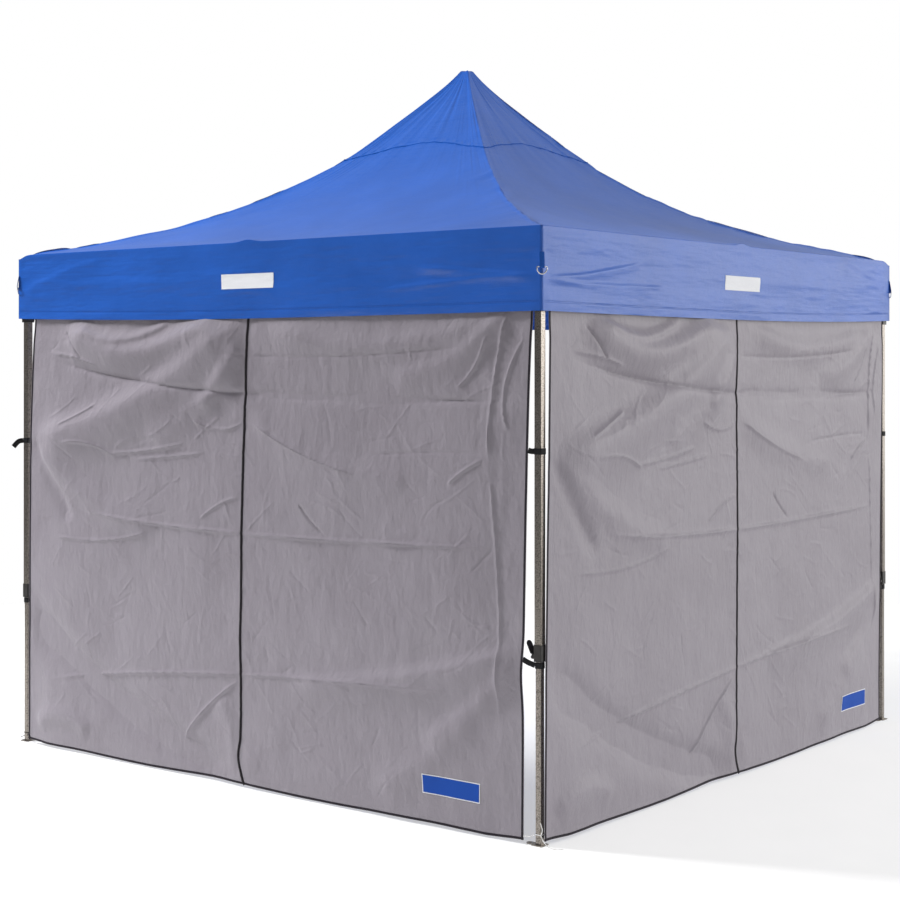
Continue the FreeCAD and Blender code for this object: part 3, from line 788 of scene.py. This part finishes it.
def faint_creases(count, seed):
    """Short random creases all over, mostly level and some upright."""
    rng = np.random.default_rng(seed)
    out = []
    for _ in range(count):
        centre = rng.uniform((0.03, 0.05), (0.97, 0.95))
        angle = rng.uniform(-0.9, 0.9) + (math.pi / 2 if rng.uniform() < 0.25 else 0)
        half = rng.uniform(0.012, 0.040) * np.array([math.cos(angle), 1.4 * math.sin(angle)])
        bend = rng.uniform(-0.006, 0.006, 2)
        height = rng.uniform(0.0010, 0.0028) * rng.choice((-1, 1, 1))
        out.append((centre - half, centre + bend, centre + half, height, 0.0065, 0.0065))
    return out


FAINT_CREASES = faint_creases(230, 56)
walls = {side: Wall(side) for side in ("front", "right")}
share_grid = np.linspace(0, 1, WALL_COLUMNS)
rise_grid = np.linspace(1, 0, WALL_ROWS)
rise_mesh, share_mesh = np.meshgrid(rise_grid, share_grid, indexing="ij")
ZIP_TURNS = 660
for side, wall in walls.items():
    points = quarter_turn(wall.points(share_mesh, rise_mesh), wall.turn)[:, ::-1]
    flat = np.stack([share_mesh * wall.size[0], rise_mesh * WALL_TOP], axis=-1)[:, ::-1]
    cloth = cloth_from_grid("wall_cloth_" + side, points, grid_normals(points), flat, GREY)
    wall.fix(cloth, "wall_fabric")
    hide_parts("wall_" + side)
    # Edge binding: one tape up each side and along the hem
    along = np.linspace(0, 1, 300)
    none = np.zeros(300)
    sideways = wall.direction(1, 0)
    outward = wall.direction(0, -1)
    for end, line, wide in (("left", wall.line(none + 0.0022, along, -0.0004), sideways),
                            ("right", wall.line(none + 0.9978, along, -0.0004), sideways),
                            ("hem", wall.line(along, none + 0.0028, -0.0004), (0, 0, 1))):
        tape = tube_along("wall_binding_%s_%s" % (side, end), line, 0, BINDING,
                          flat=(BINDING_HALF, 0.0017, wide))
        wall.fix(tape, "wall_fabric")
    # Centre zip: a woven tape with the coil of teeth along it
    zip_tape = tube_along("zip_tape_" + side, wall.zip_line(400, 0.0006), 0, BINDING,
                          flat=(0.0070, 0.0011, sideways))
    wall.fix(zip_tape, "wall_fabric")
    phase = np.linspace(0, 2 * math.pi * ZIP_TURNS, ZIP_TURNS * 7)
    middle = wall.zip_line(400, 0.0022)
    places = np.linspace(0, 399, len(phase))
    core = np.stack([np.interp(places, np.arange(400), middle[:, i]) for i in range(3)], axis=1)
    coil = core + np.outer(np.cos(phase) * 0.0029, sideways) + np.outer(np.sin(phase) * 0.0013, outward)
    teeth = tube_along("zip_teeth_" + side, coil, 0.00062, NYLON, 4)
    wall.fix(teeth, "zip_metal")

# ---------------------------------------------------------------- labels


def label(name, points_at, side_turn, width, height, material, lift):
    """A thin sewn label laid over the cloth: a small grid that follows it."""
    across, up = np.meshgrid(np.linspace(-0.5, 0.5, 33), np.linspace(0.5, -0.5, 17))
    points = points_at(across * width, up * height)
    points[..., 1] -= lift
    points = quarter_turn(points, side_turn)[:, ::-1]
    flat = np.stack([across * width, up * height], axis=-1)[:, ::-1]
    return cloth_from_grid(name, points, grid_normals(points), flat, material, 0.0006)


LABEL_Z = 2.112
WALL_LABEL_SHARE = 0.885    # how far across a wall its label's middle is
WALL_LABEL_Z = 0.150
for k, side in ((0, "front"), (1, "right")):
    def on_valance(x, z):
        top = roof_points(x / HALF, np.full(x.shape, HALF), k)[..., 2]
        bottom = valance_bottom(x, k)
        return valance_points(x, (top - LABEL_Z - z) / (top - bottom), k)

    patch = label("valance_label_" + side, on_valance, k, 0.30, 0.062, LABEL_WHITE, 0.0012)
    fold_with(patch, side)
    wall = walls[side]

    def on_wall(x, z):
        share = WALL_LABEL_SHARE + x / wall.size[0]
        return wall.points(share, (WALL_LABEL_Z + z) / WALL_TOP)

    for part, shrink, material, lift in (("edge", 0.0, LABEL_WHITE, 0.0012),
                                         ("face", 0.008, LABEL_BLUE, 0.0020)):
        patch = label("wall_label_%s_%s" % (part, side), on_wall, k, 0.27 - shrink, 0.075 - shrink,
                      material, lift)
        wall.fix(patch, "wall_fabric")

# ---------------------------------------------------------------- corner hardware

def corner_place(k, x, y, z):
    """A place near the front right corner, turned to corner k."""
    return quarter_turn(np.array([x, y, z], float), k)


def square_loop(centre, half, round_off, count=8):
    """A square ring of points with rounded corners, level, about a centre."""
    points = []
    for quarter in range(4):
        start = quarter * math.pi / 2
        middle = start + math.pi / 4
        inner = (half - round_off) * math.sqrt(2)
        cx, cy = inner * math.cos(middle), inner * math.sin(middle)
        for angle in np.linspace(start, start + math.pi / 2, count):
            points.append((cx + round_off * math.cos(angle), cy + round_off * math.sin(angle), 0.0))
    return np.array(points) + np.asarray(centre, float)


RING_HALF = 0.0195
RING_WIRE = 0.0025
RING_TOP = EAVE_Z - 0.153
RING_DROP = 0.027
RING_OUT = HALF + 0.0005
for k, corner in enumerate(CORNERS):
    diagonal = unit(corner_place(k, 1, -1, 0))
    across = np.cross((0, 0, 1), diagonal)
    at = corner_place(k, RING_OUT, -RING_OUT, RING_TOP)
    # Closed D-ring: a straight bar in the tab, and a half round below it
    turn = np.linspace(0, math.pi, 22)
    bow = at + np.outer(np.cos(turn) * RING_HALF, across) + np.outer(-np.sin(turn) * RING_DROP, (0, 0, 1))
    bar = at + np.outer(np.linspace(-RING_HALF, RING_HALF, 8)[1:-1], across)
    ring = tube_along("corner_ring_" + corner, np.vstack([bow, bar]), RING_WIRE, CHROME, 10, closed=True)
    # Webbing tab: down the corner, through the ring and back up behind it
    sewn = at - diagonal * 0.004 + np.array([0, 0, 0.055])
    front = at + diagonal * 0.0035
    under = at - np.array([0, 0, 0.0042])
    back = at - diagonal * 0.0035
    strap = curved_path([sewn, front + (0, 0, 0.012), front, under, back, back + (0, 0, 0.012),
                         sewn - diagonal * 0.0022], 40)
    tab = tube_along("corner_tab_" + corner, strap, 0, BLUE_THREAD, flat=(0.0100, 0.0008, across))
    for piece, slot_name in ((ring, "zip_metal"), (tab, "canopy_fabric")):
        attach(piece, "leg_outer_" + corner)

STRAP_HALF = 0.0115
STRAP_THICK = 0.0009


def leg_strap(name, k, height, half, edge, tail):
    """A webbing strap round a leg at corner k, with a link to the wall's edge and perhaps a loose tail.
    Edge is where the wall's binding lies and where the link meets the leg, as at the front right corner.
    Tail is the direction it points in, how far out it goes and how far down."""
    axis = corner_place(k, LEG_AXIS, -LEG_AXIS, height)
    loop = square_loop(axis, half + 0.0016, 0.004)
    pieces = [tube_along(name + "_loop", loop, 0, BLACK_WEB, flat=(STRAP_HALF, STRAP_THICK, (0, 0, 1)),
                         closed=True)]
    start = corner_place(k, edge[0], edge[1], height + edge[2])
    near = corner_place(k, edge[3], edge[4], height)
    link = curved_path([start, (start * 0.55 + near * 0.45) + (0, 0, -0.002), near], 14)
    pieces.append(tube_along(name + "_link", link, 0, BLACK_WEB,
                             flat=(STRAP_HALF * 0.9, STRAP_THICK, (0, 0, 1))))
    if tail:
        out = unit(corner_place(k, tail[0], tail[1], 0))
        root = axis + out * (half * math.sqrt(2) + 0.001)
        hang = curved_path([root, root + out * tail[2] * 0.5 + (0, 0, -0.006),
                            root + out * tail[2] + (0, 0, -tail[3])], 14)
        pieces.append(tube_along(name + "_tail", hang, 0, BLACK_WEB,
                                 flat=(STRAP_HALF, STRAP_THICK, (0, 0, 1))))
    return pieces


TUBE_FACE = LEG_AXIS - TUBE_HALF

# Each row: corner, the wall that is tied there and its end, the upper strap's height, how far the
# upper and lower links rise at the wall, and the upper strap's tail
STRAPS = (
    ("front_right", "front", 1, 1.446, (0.004, 0.020), None),
    ("front_left", "front", 0, 1.408, (0.0, 0.01), (1, -1, 0.045, 0.030)),
    ("back_right", "right", 1, 1.42, (0.0, 0.01), None),
)
for corner, side, end, upper, rises, tail in STRAPS:
    wall = walls[side]
    plane = wall.plane - 0.001
    for level, height, half, rise, gap in (("upper", upper, TUBE_HALF, rises[0], 0.012),
                                           ("lower", HOUSING_BOTTOM - 0.014, INNER_HALF, rises[1], 0.010)):
        at_wall = float(wall.edges(np.array(height))[end])
        if end == 1:
            edge = (at_wall, -plane, rise, TUBE_FACE, -LEG_AXIS - gap)
        else:
            edge = (plane, at_wall, rise, LEG_AXIS + gap, -TUBE_FACE)
        for piece in leg_strap("strap_%s_%s" % (level, corner), CORNERS.index(corner), height, half, edge,
                               tail if level == "upper" else None):
            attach(piece, "leg_outer_" + corner)

# Ties that hold the walls' lower corners to the legs
TIE_Z = 0.040


def foot_tie(name, k, height, half, ends, material, radius):
    """A thin tie round the inner leg near its foot, with loose ends."""
    axis = corner_place(k, LEG_AXIS, -LEG_AXIS, height)
    pieces = [tube_along(name + "_loop", square_loop(axis, half + radius, 0.004), radius, material, 8,
                         closed=True)]
    for number, path in enumerate(ends):
        line = curved_path([corner_place(k, LEG_AXIS + x, -LEG_AXIS + y, z) for x, y, z in path], 22)
        pieces.append(tube_along("%s_end_%d" % (name, number + 1), line, radius, material, 8))
    return pieces


skin = INNER_HALF + 0.002
wall_corner_x = walls["front"].right - LEG_AXIS
wall_corner_y = LEG_AXIS - walls["front"].plane
ground = 0.003
ties = {
    "front_right": foot_tie("tie_front_right", 0, TIE_Z, INNER_HALF, (
        ((skin, -skin, TIE_Z), (0.026, -0.022, 0.062), (0.024, -0.030, 0.090)),
        ((skin, -skin, TIE_Z), (0.034, -0.024, 0.022), (0.060, -0.020, ground), (0.110, -0.008, ground)),
        ((-skin, -skin, TIE_Z), (wall_corner_x * 0.5, wall_corner_y * 0.9, 0.032),
         (wall_corner_x - 0.004, wall_corner_y, 0.030)),
    ), PALE_TIE, 0.0016),
    "front_left": foot_tie("tie_front_left", 3, TIE_Z, INNER_HALF, (
        ((-skin, -skin, TIE_Z), (-0.020, -0.040, 0.020), (-0.024, -0.080, ground)),
        ((-skin, skin, TIE_Z), (wall_corner_y * -0.9, -wall_corner_x * 0.5, 0.036),
         (-wall_corner_y, -wall_corner_x - 0.002, 0.032)),
    ), BLACK_WEB, 0.0016),
}
for corner, pieces in ties.items():
    for piece in pieces:
        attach(piece, "leg_inner_" + corner)

# ---------------------------------------------------------------- materials of the frame's own pieces

BRACKET_BOTTOM = outer_hi[2] - 0.070


def set_materials(piece, materials, choose):
    """Give a piece its materials, and each face the one that choose picks from its centre."""
    piece.data.materials.clear()
    for material in materials:
        piece.data.materials.append(material)
    for face in piece.data.polygons:
        face.material_index = choose(face.center)


PREFIXES = (
    (("centre_bar", "side_bar", "leg_inner", "peak_pole"), HAMMER),
    (("hub", "mid_bracket", "corner_slider", "slider_lock", "height_lever"), NYLON),
    (("zip_pull",), ZINC),
)
for name, piece in nodes.items():
    if name.startswith("leg_outer"):
        set_materials(piece, (HAMMER, NYLON),
                      lambda c: int(c.z > BRACKET_BOTTOM or c.z < HOUSING_TOP))
        continue
    for starts, material in PREFIXES:
        if name.startswith(starts):
            set_materials(piece, (material,), lambda c: 0)

# ---------------------------------------------------------------- camera, lights, floor

CAMERA_AT = (5.24, -6.81, 1.77)
CAMERA_YAW = math.radians(38.12)
CAMERA_PITCH = math.radians(0.10)
FOCAL_SHARE = 1.9756
SENSOR = 36.0

camera_data = bpy.data.cameras.new("Camera")
camera = bpy.data.objects.new("Camera", camera_data)
bpy.context.scene.collection.objects.link(camera)
camera.location = CAMERA_AT
camera.rotation_euler = (math.pi / 2 + CAMERA_PITCH, 0, CAMERA_YAW)
camera_data.sensor_width = SENSOR
camera_data.lens = SENSOR * FOCAL_SHARE
camera_data.shift_y = -0.1
bpy.context.scene.camera = camera
bpy.context.scene.view_settings.view_transform = "Standard"

# The room is brighter behind the canopy and to its right than in front and to its left
world = bpy.data.worlds.new("World")
bpy.context.scene.world = world
world.use_nodes = True
room = world.node_tree
room_light = room.nodes["Background"]
facing = room.nodes.new("ShaderNodeTexCoord")
split = room.nodes.new("ShaderNodeSeparateXYZ")
room.links.new(facing.outputs["Generated"], split.inputs[0])
to_back_right = math_node(room, "ADD", math_node(room, "MULTIPLY", split.outputs[0], 0.61),
                          math_node(room, "MULTIPLY", split.outputs[1], 0.79))
upward = math_node(room, "MULTIPLY", split.outputs[2], 0.35)
level = math_node(room, "ADD", math_node(room, "MULTIPLY", to_back_right, 0.28), upward)
room_colour = ramp(room, math_node(room, "ADD", math_node(room, "MULTIPLY", level, 0.8), 0.5),
                   ((0.0, (0.16, 0.16, 0.165)), (0.45, (0.36, 0.36, 0.365)), (1.0, (1.0, 1.0, 1.0))))
room.links.new(room_colour, room_light.inputs["Color"])
room_light.inputs["Strength"].default_value = 0.74
backdrop = room.nodes.new("ShaderNodeBackground")
backdrop.inputs["Color"].default_value = (1, 1, 1, 1)
seen = room.nodes.new("ShaderNodeLightPath")
either = room.nodes.new("ShaderNodeMixShader")
room.links.new(seen.outputs["Is Camera Ray"], either.inputs[0])
room.links.new(room_light.outputs[0], either.inputs[1])
room.links.new(backdrop.outputs[0], either.inputs[2])
room.links.new(either.outputs[0], room.nodes["World Output"].inputs[0])


def area_light(name, at, size, power, colour=(1, 1, 1), target=(0, 0, 1.4)):
    data = bpy.data.lights.new(name, "AREA")
    data.shape = "RECTANGLE"
    data.size, data.size_y = size
    data.energy = power
    data.color = colour
    light = bpy.data.objects.new(name, data)
    bpy.context.scene.collection.objects.link(light)
    light.location = at
    light.rotation_euler = (Vector(target) - Vector(at)).to_track_quat("-Z", "Y").to_euler()
    light.visible_camera = False
    return light


area_light("BackRight", (8.5, 8.0, 3.4), (9, 6), 560, (1.0, 0.99, 0.97))
for name, at, power, aim in (("KeyLeft", (-6.5, -3.8, 6.5), 1050, (0, -1.5, 1.2)),
                             ("KeyRight", (5.2, -1.0, 8.5), 110, (1.5, 0, 1.2))):
    key = area_light(name, at, (1.6, 1.6), power, target=aim)
    key.visible_glossy = False


def floor_paint(name):
    """White paint with a faint grain that glows a little, as a lit studio floor does."""
    material, tree, shader = new_material(name)
    grain = noise(tree, coordinates(tree, "Object"), 4.0, 3.0)
    colour = ramp(tree, grain, ((0.3, (0.60, 0.60, 0.60)), (0.7, (0.62, 0.62, 0.62))))
    paint(tree, shader, colour, 0.9)
    shader.inputs["Emission Color"].default_value = (1, 1, 1, 1)
    shader.inputs["Emission Strength"].default_value = 0.46
    return material


FLOOR_RADIUS = 5.5
turn = np.linspace(0, 2 * math.pi, 96, endpoint=False)
rim = np.stack([np.cos(turn), np.sin(turn), 0 * turn], axis=-1) * FLOOR_RADIUS
floor = mesh_object("studio_floor", rim, [range(96)], floor_paint("FloorPaint"))
